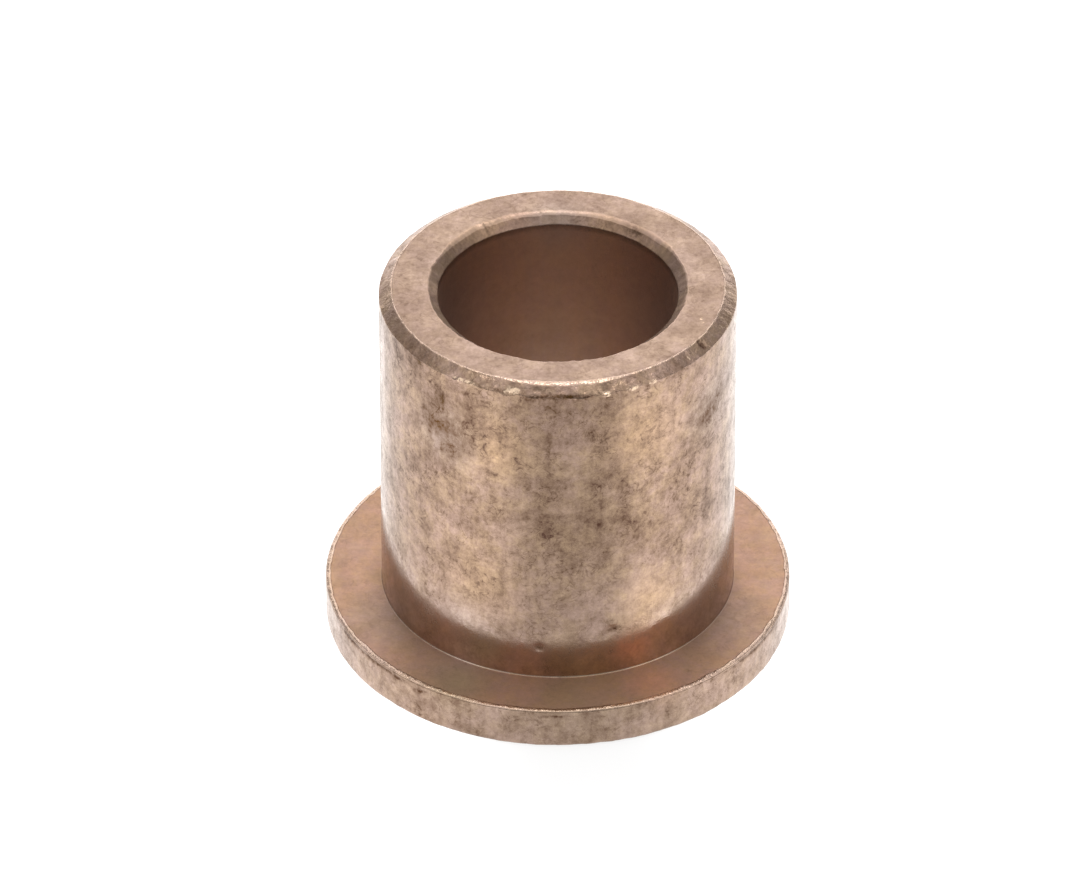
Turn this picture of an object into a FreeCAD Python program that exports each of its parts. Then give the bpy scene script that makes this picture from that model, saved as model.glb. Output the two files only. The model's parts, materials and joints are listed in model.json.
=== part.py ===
import FreeCAD, Part
import os
from math import cos, radians, sin

# Flanged sleeve bushing, pressed and sintered in one piece from bronze powder. Millimetres.
#
# The origin lies on the bore's axis, in the plane of the flange's outer face. +Z runs along
# the axis from the flange to the sleeve's free end. The part is a body of revolution, so its
# half section in the XZ plane, turned once round Z, is the whole shape.

# Running surfaces: a nominal 12.7 mm (1/2 in) shaft in a 19.05 mm (3/4 in) housing bore
SHAFT_DIAMETER = 12.70
RUNNING_CLEARANCE = 0.05
SLEEVE_DIAMETER = 19.05
OVERALL_LENGTH = 21.25

# Flange
FLANGE_DIAMETER = 25.10
FLANGE_THICKNESS = 2.38
FLANGE_EDGE_RADIUS = 0.28

# Fillet where the sleeve grows out of the flange
ROOT_FILLET = 0.15

# Lead-in chamfer round the outside of the free end, for pressing into the housing
LEAD_IN_WIDTH = 0.64
LEAD_IN_HEIGHT = 0.45

# Chamfer at both mouths of the bore
MOUTH_WIDTH = 0.55
MOUTH_HEIGHT = 0.50

# Diagonal directions in the half section, in degrees from +X
UP_AND_OUT = 45.0
DOWN_AND_OUT = -45.0
DOWN_AND_IN = 225.0
EIGHTH_TURN = 45.0
FULL_TURN = 360.0

bore_radius = (SHAFT_DIAMETER + RUNNING_CLEARANCE) / 2
sleeve_radius = SLEEVE_DIAMETER / 2
flange_radius = FLANGE_DIAMETER / 2


def at(radius, height):
    """A point of the half section, which lies in the XZ plane."""
    return FreeCAD.Vector(radius, 0, height)


def lines(*points):
    """Straight edges from each point to the next."""
    return [Part.makeLine(start, end) for start, end in zip(points, points[1:])]


def quarter(centre_radius, centre_height, arc_radius, middle):
    """A quarter circle whose middle lies in a direction from its centre."""
    start, halfway, end = [
        at(
            centre_radius + arc_radius * cos(radians(middle + turn)),
            centre_height + arc_radius * sin(radians(middle + turn)),
        )
        for turn in (-EIGHTH_TURN, 0, EIGHTH_TURN)
    ]
    return Part.Arc(start, halfway, end).toShape()


def half_section():
    """The closed outline of the wall, the bore to the left and the outside to the right."""
    edge_radius = flange_radius - FLANGE_EDGE_RADIUS
    free_end = lines(
        at(bore_radius, MOUTH_HEIGHT),
        at(bore_radius, OVERALL_LENGTH - MOUTH_HEIGHT),
        at(bore_radius + MOUTH_WIDTH, OVERALL_LENGTH),
        at(sleeve_radius - LEAD_IN_WIDTH, OVERALL_LENGTH),
        at(sleeve_radius, OVERALL_LENGTH - LEAD_IN_HEIGHT),
        at(sleeve_radius, FLANGE_THICKNESS + ROOT_FILLET),
    )
    root = quarter(
        sleeve_radius + ROOT_FILLET, FLANGE_THICKNESS + ROOT_FILLET, ROOT_FILLET, DOWN_AND_IN
    )
    inner_face = lines(
        at(sleeve_radius + ROOT_FILLET, FLANGE_THICKNESS),
        at(edge_radius, FLANGE_THICKNESS),
    )
    upper_edge = quarter(
        edge_radius, FLANGE_THICKNESS - FLANGE_EDGE_RADIUS, FLANGE_EDGE_RADIUS, UP_AND_OUT
    )
    rim = lines(
        at(flange_radius, FLANGE_THICKNESS - FLANGE_EDGE_RADIUS),
        at(flange_radius, FLANGE_EDGE_RADIUS),
    )
    lower_edge = quarter(edge_radius, FLANGE_EDGE_RADIUS, FLANGE_EDGE_RADIUS, DOWN_AND_OUT)
    outer_face = lines(
        at(edge_radius, 0),
        at(bore_radius + MOUTH_WIDTH, 0),
        at(bore_radius, MOUTH_HEIGHT),
    )
    outline = free_end + [root] + inner_face + [upper_edge] + rim + [lower_edge] + outer_face
    return Part.Face(Part.Wire(outline))


def flanged_bushing():
    """Sleeve and flange in one solid, as the powder press forms them."""
    axis_point = FreeCAD.Vector(0, 0, 0)
    axis_direction = FreeCAD.Vector(0, 0, 1)
    return half_section().revolve(axis_point, axis_direction, FULL_TURN)


os.makedirs("parts", exist_ok=True)
flanged_bushing().exportStep("parts/flanged_bushing.step")
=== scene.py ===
import json
from math import atan2, cos, degrees, pi, radians, sin

import bpy
import numpy as np
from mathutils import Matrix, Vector, noise


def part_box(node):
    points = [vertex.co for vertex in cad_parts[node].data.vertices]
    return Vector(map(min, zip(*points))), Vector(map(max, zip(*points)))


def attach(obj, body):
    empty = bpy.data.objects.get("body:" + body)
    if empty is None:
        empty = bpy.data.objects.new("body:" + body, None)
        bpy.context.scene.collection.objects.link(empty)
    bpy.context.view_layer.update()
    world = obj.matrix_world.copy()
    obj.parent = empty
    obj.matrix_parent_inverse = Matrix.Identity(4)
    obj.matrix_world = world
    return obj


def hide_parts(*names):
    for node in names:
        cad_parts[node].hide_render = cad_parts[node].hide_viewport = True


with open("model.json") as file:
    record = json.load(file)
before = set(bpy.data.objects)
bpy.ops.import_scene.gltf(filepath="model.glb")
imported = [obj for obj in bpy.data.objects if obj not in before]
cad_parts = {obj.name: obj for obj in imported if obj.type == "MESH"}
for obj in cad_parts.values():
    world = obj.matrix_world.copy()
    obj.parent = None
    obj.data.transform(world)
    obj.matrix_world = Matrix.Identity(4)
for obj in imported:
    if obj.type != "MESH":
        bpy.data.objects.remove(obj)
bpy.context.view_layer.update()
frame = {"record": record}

# Flanged sleeve bushing of sintered bronze, standing on its flange. The piece is one lathe
# mesh with ragged edges, dents and scrapes in its geometry, and one procedural bronze.
# Lengths are in millimetres until the mesh, lights and camera are made, in metres.
# Azimuths are in degrees round the axis: 0 faces the camera and 90 is on its right.

MM = 0.001
NODE = "flanged_bushing"
mounts = {mount["name"]: mount for mount in frame["record"]["mounts"]}


# Sizes ------------------------------------------------------------------------------------

def wall_ends(name):
    """The lowest and highest height of a round mount's wall."""
    middle = mounts[name]["pos_m"][2] / MM
    half = mounts[name]["dims"]["length_mm"] / 2
    return middle - half, middle + half


_, node_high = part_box(NODE)
LENGTH = node_high[2] / MM
FLANGE_RADIUS = node_high[0] / MM
FLANGE_THICKNESS = mounts["flange_seat"]["pos_m"][2] / MM
BORE_RADIUS = mounts["bore"]["dims"]["r_mm"]
SLEEVE_RADIUS = mounts["sleeve_od"]["dims"]["r_mm"]
MOUTH_HEIGHT = wall_ends("bore")[0]
ROOT_FILLET = wall_ends("sleeve_od")[0] - FLANGE_THICKNESS
LEAD_IN_HEIGHT = LENGTH - wall_ends("sleeve_od")[1]
MOUTH_WIDTH = 0.55
LEAD_IN_WIDTH = 0.64
FLANGE_EDGE_RADIUS = 0.28
SHARP = 0.05             # how far a sharp corner's rounding reaches along both its faces

COLUMNS = 480


# Noise ------------------------------------------------------------------------------------

def field(points, wavelength, seed, octaves=3):
    """Smooth noise of about -1 to 1 at each point, with features about a wavelength across."""
    shift = Vector((seed * 31.7, seed * 17.3, seed * 7.9))
    return np.array([noise.fractal(Vector(point) / wavelength + shift, 1.0, 2.0, octaves)
                     for point in points])


azimuths = np.arange(COLUMNS) * 360 / COLUMNS
sines, cosines = np.sin(np.radians(azimuths)), np.cos(np.radians(azimuths))


def around(wavelength, seed, octaves=3):
    """Noise that runs round the sleeve and closes on itself."""
    circle = SLEEVE_RADIUS * np.stack([sines, -cosines, 0 * sines], axis=1)
    return field(circle, wavelength, seed, octaves)


WINDOW_EDGE = 3          # how many degrees an arc's window takes to fade by a factor of e


def arc_window(middle, half_width):
    """1 within an arc of the circle and 0 outside it, with soft ends."""
    away = np.abs((azimuths - middle + 180) % 360 - 180)
    return 1 / (1 + np.exp((away - half_width) / WINDOW_EDGE))


# Profile ----------------------------------------------------------------------------------

WANDER_LENGTH, TOOTH_LENGTH, CHIP_LENGTH = 2.4, 0.5, 0.9
CHIP_THRESHOLD = 0.25    # how high the noise rises before an edge is chipped


def ragged(seed, coarse, fine, chipped=0.0):
    """How far an edge wanders at each azimuth: slow waves, fine teeth, and chips cut inwards."""
    chips = np.clip(around(CHIP_LENGTH, seed + 2) - CHIP_THRESHOLD, 0, None)
    wander = coarse * around(WANDER_LENGTH, seed)
    return wander + fine * around(TOOTH_LENGTH, seed + 1) + chipped * chips


# Arcs where the free end was knocked in front, and where the bore's mouth was torn at the back
knocked_front = arc_window(-2, 34)
torn_back = arc_window(215, 45)

lead_width = LEAD_IN_WIDTH + ragged(1, 0.03, 0.02, 0.05)
lead_height = LEAD_IN_HEIGHT + ragged(4, 0.03, 0.02, 0.04)
lead_height += knocked_front * ragged(7, 0.07, 0.08, 0.20)
mouth_width = MOUTH_WIDTH + ragged(10, 0.06, 0.05, 0.08)
mouth_width += torn_back * ragged(13, 0.12, 0.05, 0.20)
mouth_height = MOUTH_HEIGHT + ragged(16, 0.02, 0.01)

# How far the rounding of the mouth's, the free end's, the root's and the flange's corners reaches
mouth_setback = SHARP + 0.14 * arc_window(180, 60)
front_setback = SHARP + 0.13 * arc_window(3, 17)
root_setback = ROOT_FILLET * (0.35 + 0.25 * arc_window(0, 45)) + ragged(25, 0.015, 0.015)
upper_setback = 0.9 * FLANGE_EDGE_RADIUS + ragged(19, 0.04, 0.06, -0.08)
lower_setback = FLANGE_EDGE_RADIUS + ragged(22, 0.04, 0.05, -0.08)

# The half section, one line for each corner: its radius and height, the setback, rows and zone
# of its rounding, how far that reaches along the next face for each step along the last, then
# the zone and rows of the face that follows, and how much those rows crowd towards its ends
outline = [
    (BORE_RADIUS, MOUTH_HEIGHT, SHARP, 3, "bore", 1.0, "bore", 22, 0.6),
    (BORE_RADIUS, LENGTH - mouth_height, SHARP, 4, "mouth", 1.0, "mouth", 6, 0.5),
    (BORE_RADIUS + mouth_width, LENGTH, mouth_setback, 5, "lip", 1.0, "end_face", 14, 0.9),
    (SLEEVE_RADIUS - lead_width, LENGTH, front_setback, 5, "edge", 1.0, "lead_in", 8, 0.5),
    (SLEEVE_RADIUS, LENGTH - lead_height, SHARP, 4, "lead_in", 1.0, "sleeve", 70, 0.3),
    (SLEEVE_RADIUS, FLANGE_THICKNESS, root_setback, 8, "root", 1.0, "flange_face", 14, 0.9),
    (FLANGE_RADIUS, FLANGE_THICKNESS, upper_setback, 8, "edge", 0.5, "rim", 13, 0.3),
    (FLANGE_RADIUS, 0.0, lower_setback, 6, "rim", 1.0, "bottom", 8, 0.9),
    (BORE_RADIUS + MOUTH_WIDTH, 0.0, SHARP, 3, "mouth", 1.0, "mouth", 3, 0.5),
]


def towards(start, end):
    """Unit vectors from start to end, at each azimuth."""
    step = end - start
    return step / np.linalg.norm(step, axis=1, keepdims=True)


def rounded(corner, inward, onward, setback, lean, rows):
    """Rows of an arc that rounds a corner, as a rational quadratic curve."""
    start, end = corner - setback * inward, corner + lean * setback * onward
    turn = np.sum(inward * onward, axis=1, keepdims=True)
    weight = np.sqrt((1 + np.clip(turn, -1, 1)) / 2)
    arc = []
    for t in np.linspace(0, 1, rows):
        ends, middle = (1 - t) ** 2 + t ** 2, 2 * t * (1 - t) * weight
        arc.append(((1 - t) ** 2 * start + middle * corner + t ** 2 * end) / (ends + middle))
    return arc


def half_section():
    """Every row of the closed half section, and the zone each row lies in."""
    every = np.ones(COLUMNS)
    points = [np.stack([line[0] * every, line[1] * every], axis=1) for line in outline]
    setbacks = [(line[2] * every)[:, None] for line in outline]
    rows, zones = [], []
    for k, (_, _, _, arc_rows, arc_zone, lean, zone, face_rows, crowding) in enumerate(outline):
        following = (k + 1) % len(outline)
        inward = towards(points[k - 1], points[k])
        onward = towards(points[k], points[following])
        rows += rounded(points[k], inward, onward, setbacks[k], lean, arc_rows)
        tail = arc_rows * 3 // 8       # the arc's last rows are finished like the face after it
        zones += [arc_zone] * (arc_rows - tail) + [zone] * tail
        start = rows[-1]
        end = points[following] - setbacks[following] * onward
        for even in np.arange(1, face_rows + 1) / (face_rows + 1):
            t = (1 - crowding) * even + crowding * (1 - cos(pi * even)) / 2
            rows.append(start + t * (end - start))
            zones.append(zone)
    return np.array(rows), zones


# Relief -----------------------------------------------------------------------------------

# How far each zone's waves and grain stand off its true surface
WAVES = {"sleeve": 0.006, "rim": 0.014, "lead_in": 0.012, "mouth": 0.014, "edge": 0.008}
GRAIN = {"sleeve": 0.0008, "rim": 0.006, "lead_in": 0.005, "mouth": 0.012, "lip": 0.008,
         "edge": 0.016}
QUIET = 0.0008           # the grain of every other zone, whose waves are four times as high
WAVE_LENGTH, GRAIN_LENGTH = 2.8, 0.5
FRONT_DAMAGE = 0.090     # of the lead-in, where the free end was knocked


def normals(grid):
    """Outward unit normals of a closed grid of points, by differences along both its ways."""
    down = np.roll(grid, -1, axis=0) - np.roll(grid, 1, axis=0)
    along = np.roll(grid, -1, axis=1) - np.roll(grid, 1, axis=1)
    across = np.cross(down, along)
    return across / np.linalg.norm(across, axis=2, keepdims=True)


def relief(points, zones):
    """How far the pressed surface stands off its true shape at each point."""
    waves = np.repeat([WAVES.get(zone, 4 * QUIET) for zone in zones], COLUMNS)
    grain = np.repeat([GRAIN.get(zone, QUIET) for zone in zones], COLUMNS)
    on_lead_in = np.array([zone == "lead_in" for zone in zones], float)
    damage = FRONT_DAMAGE * np.outer(on_lead_in, knocked_front).ravel()
    slow = waves * field(points, WAVE_LENGTH, 40, 2)
    return slow + (grain + damage) * field(points, GRAIN_LENGTH, 41, 2)


LEAD_IN_SLOPE = degrees(atan2(LEAD_IN_HEIGHT, LEAD_IN_WIDTH))
MOUTH_SLOPE = -degrees(atan2(MOUTH_HEIGHT, MOUTH_WIDTH))
SLOPES = {"sleeve": 90, "rim": 90, "lead_in": LEAD_IN_SLOPE, "mouth": MOUTH_SLOPE, "end_face": 0,
          "flange_face": 0}


def place(zone, azimuth, position):
    """A point on a surface: position is a height on upright ones and a radius on the others."""
    a = radians(azimuth)
    radius = {"sleeve": SLEEVE_RADIUS, "rim": FLANGE_RADIUS, "bore": BORE_RADIUS}.get(zone, position)
    down_lead_in = (radius - SLEEVE_RADIUS + LEAD_IN_WIDTH) * LEAD_IN_HEIGHT / LEAD_IN_WIDTH
    down_mouth = (BORE_RADIUS + MOUTH_WIDTH - radius) * MOUTH_HEIGHT / MOUTH_WIDTH
    height = {"end_face": LENGTH, "lead_in": LENGTH - down_lead_in, "mouth": LENGTH - down_mouth,
              "flange_face": FLANGE_THICKNESS}.get(zone, position)
    return np.array([radius * sin(a), -radius * cos(a), height])


MARK_DEPTH = 0.6         # how far from its surface a mark fades out


def mark(points, zone, azimuth, position, length, width, tilt=0):
    """1 at the middle of a mark and 0 away from it. At tilt 0 it is long round the axis."""
    a, t, s = radians(azimuth), radians(tilt), radians(SLOPES[zone])
    sideways = np.array([cos(a), sin(a), 0])
    upwards = np.array([-sin(a) * cos(s), cos(a) * cos(s), sin(s)])
    offset = points - place(zone, azimuth, position)
    u, v, w = offset @ sideways, offset @ upwards, offset @ np.cross(sideways, upwards)
    long_way = (u * cos(t) + v * sin(t)) / length
    short_way = (v * cos(t) - u * sin(t)) / width
    return np.exp(-(long_way ** 2 + short_way ** 2 + (w / MARK_DEPTH) ** 2))


# Marks that can be picked out: depth, then zone, azimuth, position, half length, half width, tilt
DENTS = [
    (0.040, "sleeve", 3, 7.2, 0.9, 0.10, 2),
    (0.060, "sleeve", 17, 5.2, 0.55, 0.12, 14),
    (0.040, "sleeve", -6, 4.3, 0.22, 0.12, 0),
    (0.030, "sleeve", -22, 15.4, 0.8, 0.16, -8),
    (0.025, "sleeve", 14, 12.4, 0.9, 0.08, 12),
    (0.035, "rim", -1, 2.0, 1.0, 0.10, 0),
    (0.030, "rim", -5, 1.7, 0.35, 0.10, -25),
    (0.035, "rim", -36, 1.9, 0.5, 0.12, 15),
    (0.035, "rim", -43, 2.0, 0.35, 0.08, 5),
    (0.050, "rim", -56, 2.13, 3.0, 0.11, 0),
    (0.030, "flange_face", 38, 11.3, 0.16, 0.12, 0),
    (0.035, "lead_in", 1, 9.49, 2.3, 0.13, 0),
    (0.030, "lead_in", -18.7, 9.46, 0.35, 0.14, 8),
    (0.060, "lead_in", 56, 9.15, 0.17, 0.35, 0),
    (0.055, "rim", 58, 2.14, 3.0, 0.11, 0),
    (0.025, "mouth", 142, 6.7, 0.60, 0.35, 0),
] + [(0.014, "rim", azimuth, 1.2, 0.10, 0.5, 12) for azimuth in range(-25, -9, 3)]
DEEP = 0.04              # how deep a dent is full of dirt, and a chip bright all over

# Chips and scratches down to bright metal
BRIGHT = [
    (0.050, "lead_in", -15.2, 9.36, 0.40, 0.20, 0),
    (0.040, "lead_in", -29.5, 9.46, 0.35, 0.10, 0),
    (0.040, "lead_in", -34, 9.48, 0.30, 0.10, 0),
    (0.050, "lead_in", 15.5, 9.50, 0.28, 0.12, 0),
    (0.050, "lead_in", 24.5, 9.51, 0.32, 0.11, 0),
    (0.050, "lead_in", 31.5, 9.51, 0.25, 0.12, 0),
    (0.022, "lead_in", 48, 9.20, 0.35, 0.08, 90),
    (0.030, "end_face", 68, 8.2, 0.5, 0.07, 25),
]


# Mesh -------------------------------------------------------------------------------------

def bushing_mesh():
    """The lathe grid with its relief, its faces smooth, and how it was finished as attributes."""
    section, zones = half_section()
    rows = len(section)
    radius, height = section[..., 0], section[..., 1]
    grid = np.stack([radius * sines, -radius * cosines, height], axis=2)
    points = grid.reshape(-1, 3)
    hollow = sum(depth * mark(points, *where) for depth, *where in DENTS)
    chipped = sum(depth * mark(points, *where) for depth, *where in BRIGHT)
    offset = relief(points, zones) - hollow - chipped
    moved = points + normals(grid).reshape(-1, 3) * offset[:, None]
    index = np.arange(rows * COLUMNS).reshape(rows, COLUMNS)
    below = np.roll(index, -1, axis=0)
    quads = np.stack([index, below, np.roll(below, -1, axis=1), np.roll(index, -1, axis=1)], axis=2)
    mesh = bpy.data.meshes.new("bushing")
    mesh.from_pydata((moved * MM).tolist(), [], quads.reshape(-1, 4).tolist())
    mesh.shade_smooth()
    layers = {name: np.repeat([FINISH[zone][k] for zone in zones], COLUMNS)
              for k, name in enumerate(FINISH_NAMES)}
    on_sleeve = np.repeat([zone == "sleeve" for zone in zones], COLUMNS)
    for name, at_foot in (("pores", FOOT_PORES), ("pale", FOOT_PALE)):
        full = layers[name][on_sleeve][0]
        eased = np.interp(points[:, 2], (FLANGE_THICKNESS, LENGTH / 2), (at_foot, full))
        layers[name] = np.where(on_sleeve, eased, layers[name])
    layers["dirt"] = np.clip(hollow / DEEP, 0, 1)
    layers["bright"] = np.clip(chipped / DEEP, 0, 1)
    for name, values in layers.items():
        mesh.attributes.new(name, "FLOAT", "POINT").data.foreach_set("value", values)
    return mesh


# Bronze -----------------------------------------------------------------------------------

# Each zone's finish: how open its pores are, how burnished, pale and bright it is, where the edges'
# brightness is a painted highlight, how torn, and how copper red
FINISH = {
    "sleeve": (1.0, 1.0, 0.45, 0.95, 0.05, 0.0),
    "rim": (0.9, 0.9, 0.9, 0.95, 0.3, 0.0),
    "root": (0.3, 0.8, 0.6, 0.85, 0.1, 0.0),
    "lip": (0.3, 0.4, 0.8, 1.15, 0.3, 0.08),
    # The edges' high tone and full paleness paint a highlight along the flange's upper edge and the
    # free end's outer edge
    "edge": (0.2, 0.8, 1.0, 1.3, 0.8, 0.0),
    "lead_in": (0.8, 0.6, 0.5, 1.03, 0.8, 0.0),
    "mouth": (0.6, 0.4, 0.4, 0.75, 0.3, 0.12),
    "end_face": (0.6, 0.0, 1.0, 1.24, 0.2, 0.0),
    "flange_face": (0.3, -0.2, 0.4, 1.16, 0.1, 0.18),
    "bottom": (0.6, 0.0, 1.0, 1.24, 0.2, 0.0),
    "bore": (0.2, 0.3, 0.9, 1.07, 0.05, 0.16),
}
FINISH_NAMES = ("pores", "burnish", "pale", "tone_and_painted_highlight", "torn", "copper")
FOOT_PORES, FOOT_PALE = 0.55, 0.9      # of the sleeve at its foot, easing off to half way up


class Tree:
    """Short calls for a material's nodes."""

    def __init__(self, owner):
        owner.use_nodes = True
        self.nodes = owner.node_tree.nodes
        self.links = owner.node_tree.links

    def set(self, socket, value):
        if isinstance(value, bpy.types.NodeSocket):
            self.links.new(value, socket)
        else:
            socket.default_value = value

    def add(self, kind, **settings):
        node = self.nodes.new(kind)
        for name, value in settings.items():
            setattr(node, name, value)
        return node

    def math(self, operation, *values):
        node = self.add("ShaderNodeMath", operation=operation)
        for socket, value in zip(node.inputs, values):
            self.set(socket, value)
        return node.outputs[0]

    def vector(self, operation, *values, output=0):
        node = self.add("ShaderNodeVectorMath", operation=operation)
        for socket, value in zip(node.inputs, values):
            self.set(socket, value)
        return node.outputs[output]

    def noise(self, coords, wavelength, detail=2.0, roughness=0.5, distortion=0.0):
        """Noise of 0 to 1 round 0.5, with features about a wavelength across."""
        node = self.add("ShaderNodeTexNoise")
        for name, value in (("Vector", coords), ("Scale", 1 / wavelength), ("Detail", detail),
                            ("Roughness", roughness), ("Distortion", distortion)):
            self.set(node.inputs[name], value)
        return node.outputs["Fac"]

    def ramp(self, value, low, high, to_low=0.0, to_high=1.0):
        node = self.add("ShaderNodeMapRange", interpolation_type="SMOOTHSTEP")
        for name, number in (("Value", value), ("From Min", low), ("From Max", high),
                             ("To Min", to_low), ("To Max", to_high)):
            self.set(node.inputs[name], number)
        return node.outputs[0]

    def mix(self, amount, first, second):
        node = self.add("ShaderNodeMix", data_type="RGBA", clamp_factor=False)
        for socket, value in zip((node.inputs[0], node.inputs[6], node.inputs[7]),
                                 (amount, first, second)):
            self.set(socket, value)
        return node.outputs[2]

    def attribute(self, name):
        return self.add("ShaderNodeAttribute", attribute_name=name).outputs["Fac"]


def spot(t, coords, zone, azimuth, position, reach):
    """1 at a place on the bushing and 0 beyond its reach, with a soft edge."""
    away = t.vector("DISTANCE", coords, tuple(place(zone, azimuth, position)), output="Value")
    return t.ramp(away, 0.0, reach, 1.0, 0.0)


# Soft patches, dark above 0 and light below: some are oil, the others are painted shade and painted
# reflected light that make the sleeve darker in the middle and at its sides and lighter between, and
# lighten the rim's front right: strength, zone, azimuth, position and reach
OIL_AND_PAINTED_SHADING = [
    (0.50, "sleeve", -39, 18.0, 4.2),
    (0.25, "sleeve", 5, 12.0, 4.5),
    (0.20, "sleeve", -2, 19.0, 3.0),
    (0.30, "sleeve", 58, 17.0, 2.8),
    (-0.20, "sleeve", -19, 16.0, 2.5),
    (-0.08, "sleeve", 28, 18.0, 3.0),
    (-0.30, "sleeve", 30, 6.5, 3.5),
    (0.20, "sleeve", 24, 11.5, 3.0),
    (0.15, "sleeve", 0, 3.4, 2.5),
    (-0.40, "sleeve", -32, 3.8, 2.8),
    (-0.40, "sleeve", 34, 3.8, 2.8),
    (0.15, "sleeve", -62, 11.0, 8.0),
    (0.15, "sleeve", 62, 11.0, 8.0),
    (0.35, "lead_in", -60, 9.2, 3.0),
    (0.14, "lead_in", 44, 9.3, 2.0),
    (0.30, "mouth", 145, 6.7, 2.5),
    (-0.30, "mouth", -95, 6.7, 2.5),
    (0.25, "lead_in", 5, 9.4, 2.2),
    (0.25, "rim", -33, 1.2, 3.5),
    (-0.20, "rim", 30, 1.2, 3.5),
    (0.20, "end_face", -90, 8.2, 5.0),
]

# Tarnish, and on the bore's side walls and upper back painted light: its colour and strength, then
# zone, azimuth, position and reach
TINTS = {
    "copper": (0.74, 0.38, 0.22, 1),
    "gold": (0.56, 0.37, 0.21, 1),
    "olive": (0.42, 0.325, 0.20, 1),
    "grey": (0.42, 0.345, 0.31, 1),
    "pewter": (0.50, 0.43, 0.40, 1),
}
STAINS_AND_PAINTED_LIGHT = [
    ("gold", 0.6, "sleeve", 27, 17.6, 4.0),
    ("gold", 0.6, "sleeve", -21, 17.0, 3.0),
    ("gold", 0.4, "sleeve", -27, 8.0, 4.0),
    ("gold", 0.5, "sleeve", 30, 6.5, 3.0),
    ("grey", 0.6, "sleeve", -39, 17.0, 3.0),
    ("grey", 0.6, "sleeve", 58, 17.0, 2.8),
    ("olive", 0.3, "sleeve", 4, 12.0, 6.5),
    ("copper", 0.06, "sleeve", 4, 12.0, 6.5),
    ("copper", 0.24, "sleeve", 26, 4.0, 2.2),
    ("grey", 0.6, "sleeve", -32, 4.0, 4.0),
    ("grey", 0.4, "sleeve", 42, 4.0, 3.0),
    ("grey", 0.6, "sleeve", -64, 4.0, 4.5),
    ("grey", 0.5, "sleeve", 64, 4.0, 4.5),
    # Painted light: the bore's side walls and the top of its back wall paler and greyer, where light
    # falls on them
    ("pewter", 1.0, "bore", -105, 15.8, 6.3),
    ("pewter", 1.0, "bore", 105, 15.8, 6.3),
    ("grey", 0.5, "bore", 180, 20.7, 2.5),
    ("olive", 0.4, "flange_face", 5, 11.2, 4.0),
    ("copper", 0.35, "flange_face", 27, 11.3, 2.0),
    ("olive", 0.75, "flange_face", -28, 11.4, 2.4),
]


# The metal's colours: two hues that drift over it, burnished pale, oily dark, which also carries the
# painted shade, and freshly chipped
WARM = (0.450, 0.298, 0.240, 1)
GOLDEN = (0.478, 0.322, 0.198, 1)
PALE = (0.46, 0.340, 0.275, 1)
OILY_AND_PAINTED_SHADE = (0.20, 0.125, 0.085, 1)
FRESH = (0.76, 0.57, 0.41, 1)

# How dark the pores are: the grain's level and contrast, then what each detail adds
GRAIN_LEVEL, GRAIN_CONTRAST = 0.45, 3.3
SPECKS, DRAG_LINES, CRACKS = 0.22, 0.6, 0.40
DIRT = 0.78              # in the hollows of the dents
CLEANEST, DIRTIEST = -0.3, 1.4

PALENESS = 0.7           # how far the palest zone goes towards PALE
ROUGHNESS = 0.52         # of clean satin metal, with what burnishing, oil and chips add to it
BURNISHED, OILED, CHIPPED = -0.39, 0.22, -0.1
BUMP_HEIGHT = 0.10
PORE_DEPTH = 0.02        # of the darkest pores, as a share of the bump's height


def pores(t, place_mm, pores_open, burnish):
    """How dark the pores, oil, dirt and the painted shade and light make each place, about 0 to 1.
    """
    grain = t.noise(place_mm, 1.6, detail=5.0, roughness=0.87)
    specks = t.ramp(t.noise(place_mm, 0.3, detail=1.0), 0.58, 0.74)
    drag = t.noise(t.vector("MULTIPLY", place_mm, (1, 1, 0.12)), 0.35)
    drag = t.math("MULTIPLY", t.math("SUBTRACT", drag, 0.5), burnish)
    lines = t.noise(place_mm, 0.8, roughness=0.6, distortion=0.8)
    lines = t.math("ABSOLUTE", t.math("SUBTRACT", lines, 0.5))
    cracks = t.math("MULTIPLY", t.ramp(lines, 0.0, 0.035, 1.0, 0.0),
                    t.ramp(t.noise(place_mm, 1.5), 0.44, 0.60))
    dark = t.math("MULTIPLY_ADD", t.math("SUBTRACT", grain, 0.5), GRAIN_CONTRAST, GRAIN_LEVEL)
    dark = t.math("MULTIPLY_ADD", specks, SPECKS, dark)
    dark = t.math("MULTIPLY_ADD", drag, DRAG_LINES, dark)
    dark = t.math("MULTIPLY_ADD", cracks, CRACKS, dark)
    # Oil patches, and painted shade and painted reflected light
    for strength, *where in OIL_AND_PAINTED_SHADING:
        dark = t.math("MULTIPLY_ADD", spot(t, place_mm, *where), strength, dark)
    dark = t.math("MULTIPLY", dark, pores_open)
    broken = t.math("MULTIPLY_ADD", t.noise(place_mm, 0.25, roughness=0.7), 3.0, -0.5)
    dirt = t.ramp(t.math("MULTIPLY", t.attribute("dirt"), broken), 0.0, 1.0, 0.0, DIRT)
    dark = t.math("ADD", dark, dirt)
    return t.math("MINIMUM", t.math("MAXIMUM", dark, CLEANEST), DIRTIEST)


def tarnished(t, place_mm, pale, copper):
    """The clean metal's colour at each place, with painted light on the bore's walls."""
    hue = t.ramp(t.noise(place_mm, 1.7, detail=4.0, roughness=0.8), 0.38, 0.62)
    colour = t.mix(hue, WARM, GOLDEN)
    colour = t.mix(t.math("MULTIPLY", pale, PALENESS), colour, PALE)
    along_axis = t.vector("MULTIPLY", place_mm, (1, 1, 0.06))
    streaks = t.noise(along_axis, 1.2, detail=3.0, roughness=0.7)
    copper = t.math("MULTIPLY", copper, t.math("MULTIPLY", streaks, 2.0))
    colour = t.mix(copper, colour, TINTS["copper"])
    # Stains, and painted light on the bore's walls
    for tint, strength, *where in STAINS_AND_PAINTED_LIGHT:
        reach = t.math("MULTIPLY", spot(t, place_mm, *where), strength)
        colour = t.mix(reach, colour, TINTS[tint])
    return colour


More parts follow.
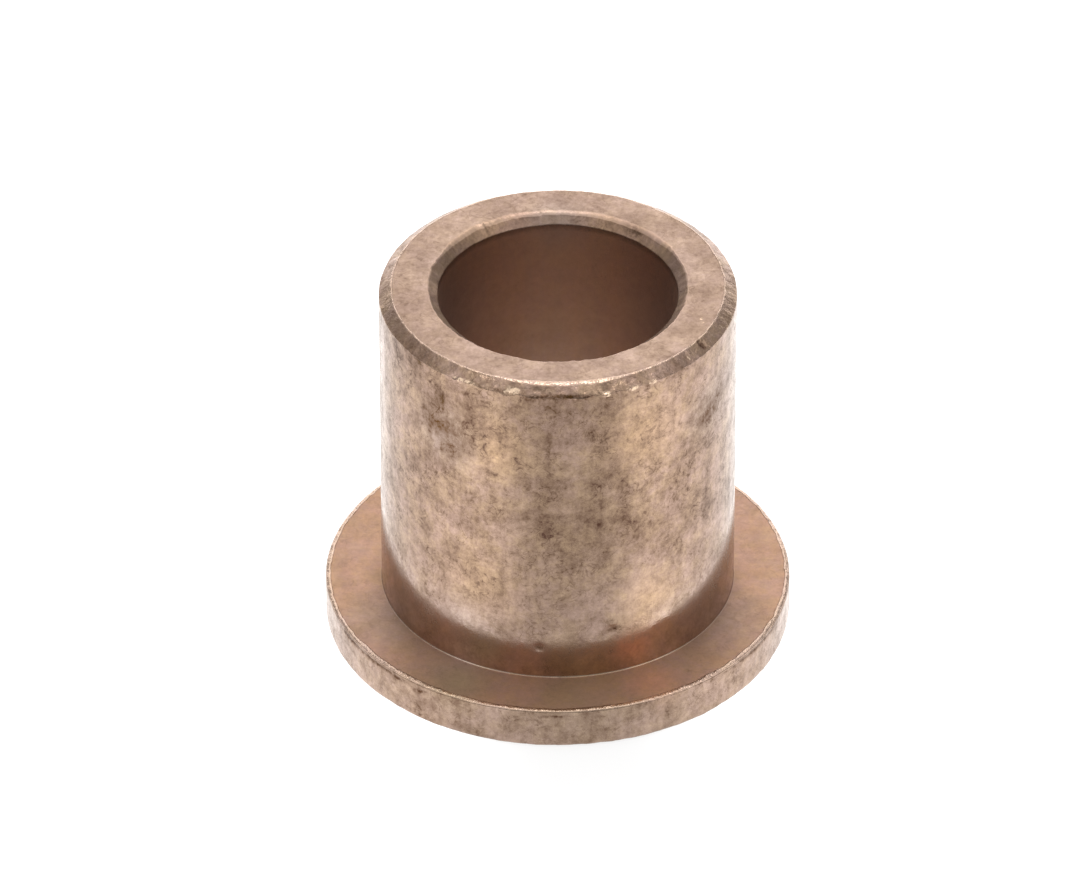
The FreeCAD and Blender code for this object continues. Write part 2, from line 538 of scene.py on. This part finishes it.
def bronze():
    """Oil-filled sintered bronze: burnished where the die sized it, satin where the punch did."""
    material = bpy.data.materials.new("bronze")
    t = Tree(material)
    shader = t.nodes["Principled BSDF"]
    place_mm = t.vector("SCALE", t.add("ShaderNodeTexCoord").outputs["Object"])
    place_mm.node.inputs["Scale"].default_value = 1 / MM
    pores_open, burnish, pale, tone_and_painted_highlight, torn, copper = (t.attribute(name) for name in FINISH_NAMES)

    dark = pores(t, place_mm, pores_open, burnish)
    chips = t.noise(place_mm, 0.4, detail=3.0, roughness=0.8)
    chips = t.math("MULTIPLY_ADD", chips, 9.0, -3.5)
    bright = t.ramp(t.math("MULTIPLY", t.attribute("bright"), chips), 0.25, 0.9)
    # Darkens towards the oily colour by the pores, oil, dirt and painted shade
    colour = t.mix(dark, tarnished(t, place_mm, pale, copper), OILY_AND_PAINTED_SHADE)
    colour = t.mix(bright, colour, FRESH)
    # Each zone's tone, which on the edges is a painted highlight
    t.set(shader.inputs["Base Color"], t.vector("MULTIPLY", colour, tone_and_painted_highlight))
    shader.inputs["Metallic"].default_value = 1.0
    rough = t.math("MULTIPLY_ADD", burnish, BURNISHED, ROUGHNESS)
    rough = t.math("MULTIPLY_ADD", dark, OILED, rough)
    t.set(shader.inputs["Roughness"], t.math("MULTIPLY_ADD", bright, CHIPPED, rough))

    bump = t.add("ShaderNodeBump")
    bump.inputs["Strength"].default_value = 1.0
    bump.inputs["Distance"].default_value = BUMP_HEIGHT * MM
    tear = t.math("MULTIPLY", t.noise(place_mm, 0.5, detail=3.0, roughness=0.7), torn)
    t.set(bump.inputs["Height"], t.math("MULTIPLY_ADD", dark, -PORE_DEPTH, tear))
    t.set(shader.inputs["Normal"], bump.outputs[0])
    return material


# Studio -----------------------------------------------------------------------------------

FLOOR_HALF = 4.0
FLOOR_GREY = (0.25, 0.25, 0.25, 1)
FLOOR_GLOW = 1.45
PAINTED_SHADE_UNDER_BORE = 0.50        # painted shade: the share of the glow that is left under the bore
PAINTED_SHADOW_AZIMUTH = 6          # painted shadow: the table's glow dips in front of the bushing, towards this azimuth
PAINTED_SHADOW_HALF_WIDTH = 45
PAINTED_SHADOW_DEPTH = 0.45
PAINTED_SHADOW_ENDS = (2 * LENGTH, 4 * LENGTH)    # how far out the painted shadow starts to fade, and is gone
DOME_LOW, DOME_HIGH = 0.42, 1.00       # brightness of the room near the horizon and overhead
DOME_RISES = (38, 52)                  # elevations between which it goes from one to the other
WHITE = (1, 1, 1, 1)

# Soft boxes: azimuth, elevation, width, height and radiance, all at the same distance
SOFTBOX_DISTANCE = 1.3
WATTS_PER_RADIANCE = 4   # of an area light, for each square metre
SOFTBOXES = {
    "overhead": (180, 76, 0.5, 0.5, 2.4),
    "sweep": (180, 8, 2.2, 0.5, 1.3),
    "backlight": (180, 36, 0.7, 0.6, 1.1),
    "left": (-62, 38, 0.6, 0.6, 1.1),
    "right": (62, 38, 0.6, 0.6, 1.15),
}


def outwards(azimuth, elevation):
    """The direction from the bushing towards an azimuth and elevation."""
    a, e = radians(azimuth), radians(elevation)
    return Vector((sin(a) * cos(e), -cos(a) * cos(e), sin(e)))


def floor():
    """A plain white light table, with a painted shadow in its glow just in front of the bushing and
    painted shade under its bore.
    """
    material = bpy.data.materials.new("floor")
    t = Tree(material)
    shader = t.nodes["Principled BSDF"]
    shader.inputs["Base Color"].default_value = FLOOR_GREY
    shader.inputs["Roughness"].default_value = 0.9
    shader.inputs["Specular IOR Level"].default_value = 0.0
    shader.inputs["Emission Color"].default_value = WHITE
    spot_m = t.add("ShaderNodeTexCoord").outputs["Object"]
    away = t.vector("LENGTH", spot_m, output="Value")
    ahead = t.vector("DOT_PRODUCT", t.vector("NORMALIZE", spot_m), outwards(PAINTED_SHADOW_AZIMUTH, 0),
                     output="Value")
    # Painted shadow: the glow is dimmed in a wedge in front of the bushing, for the metal to reflect
    # as shade
    painted_shadow = t.math("MULTIPLY", t.ramp(ahead, cos(radians(PAINTED_SHADOW_HALF_WIDTH)), 1.0),
                 t.ramp(away, PAINTED_SHADOW_ENDS[0] * MM, PAINTED_SHADOW_ENDS[1] * MM, PAINTED_SHADOW_DEPTH, 0.0))
    painted_shadow = t.math("MULTIPLY", painted_shadow, t.ramp(away, BORE_RADIUS * MM, SLEEVE_RADIUS * MM))
    # Painted shade under the bore, where the bushing would shade the table
    shade_under_bore = t.ramp(away, BORE_RADIUS * MM, SLEEVE_RADIUS * MM, PAINTED_SHADE_UNDER_BORE, 1.0)
    glow = t.math("MULTIPLY", t.math("SUBTRACT", 1.0, painted_shadow), shade_under_bore)
    t.set(shader.inputs["Emission Strength"], t.math("MULTIPLY", glow, FLOOR_GLOW))
    corners = [(x * FLOOR_HALF, y * FLOOR_HALF, 0) for x, y in ((-1, -1), (1, -1), (1, 1), (-1, 1))]
    mesh = bpy.data.meshes.new("floor")
    mesh.from_pydata(corners, [], [(0, 1, 2, 3)])
    mesh.materials.append(material)
    plane = bpy.data.objects.new("floor", mesh)
    bpy.context.scene.collection.objects.link(plane)


def aim(thing, azimuth, elevation):
    """Turns a lamp or camera that stands at an azimuth and elevation to face the bushing."""
    thing.rotation_mode = "QUATERNION"
    thing.rotation_quaternion = outwards(azimuth, elevation).to_track_quat("Z", "Y")
    bpy.context.scene.collection.objects.link(thing)


def softbox(name, azimuth, elevation, width, height, radiance):
    """A rectangular area light that faces the bushing."""
    light = bpy.data.lights.new(name, "AREA")
    light.shape = "RECTANGLE"
    light.size, light.size_y = width, height
    light.energy = WATTS_PER_RADIANCE * width * height * radiance
    lamp = bpy.data.objects.new(name, light)
    lamp.location = outwards(azimuth, elevation) * SOFTBOX_DISTANCE
    aim(lamp, azimuth, elevation)


def room():
    """An even room, brighter overhead."""
    sky = bpy.data.worlds.new("studio")
    t = Tree(sky)
    direction = t.add("ShaderNodeTexCoord").outputs["Generated"]
    upwards = t.vector("DOT_PRODUCT", direction, (0, 0, 1), output="Value")
    low, high = (sin(radians(elevation)) for elevation in DOME_RISES)
    t.set(t.nodes["Background"].inputs["Color"], WHITE)
    t.set(t.nodes["Background"].inputs["Strength"],
          t.ramp(upwards, low, high, DOME_LOW, DOME_HIGH))
    bpy.context.scene.world = sky


ELEVATION = 36.08
DISTANCE = 60.0          # this and the next three are in sleeve radii
TARGET_HEIGHT = 1.1
SHIFT_RIGHT = -0.072
SHIFT_UP = 0.020
FOCAL_LENGTH = 351.7
SENSOR_WIDTH = 36.0


def camera():
    """A long lens that looks down at the bushing from the front."""
    lens = bpy.data.cameras.new("camera")
    lens.sensor_width, lens.lens = SENSOR_WIDTH, FOCAL_LENGTH
    lens.clip_start, lens.clip_end = 0.01, 20.0
    radius = SLEEVE_RADIUS * MM
    back, up = outwards(0, ELEVATION), outwards(180, 90 - ELEVATION)
    right = Vector((1, 0, 0))
    aim_point = Vector((0, 0, TARGET_HEIGHT)) + SHIFT_RIGHT * right + SHIFT_UP * up
    eye = bpy.data.objects.new("camera", lens)
    eye.location = (aim_point + back * DISTANCE) * radius
    aim(eye, 0, ELEVATION)
    bpy.context.scene.camera = eye


# Scene ------------------------------------------------------------------------------------

bushing = bpy.data.objects.new("bushing", bushing_mesh())
bushing.data.materials.append(bronze())
bpy.context.scene.collection.objects.link(bushing)
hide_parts(NODE)
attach(bushing, "root")

floor()
room()
for name, settings in SOFTBOXES.items():
    softbox(name, *settings)
camera()
bpy.context.scene.view_settings.view_transform = "Standard"
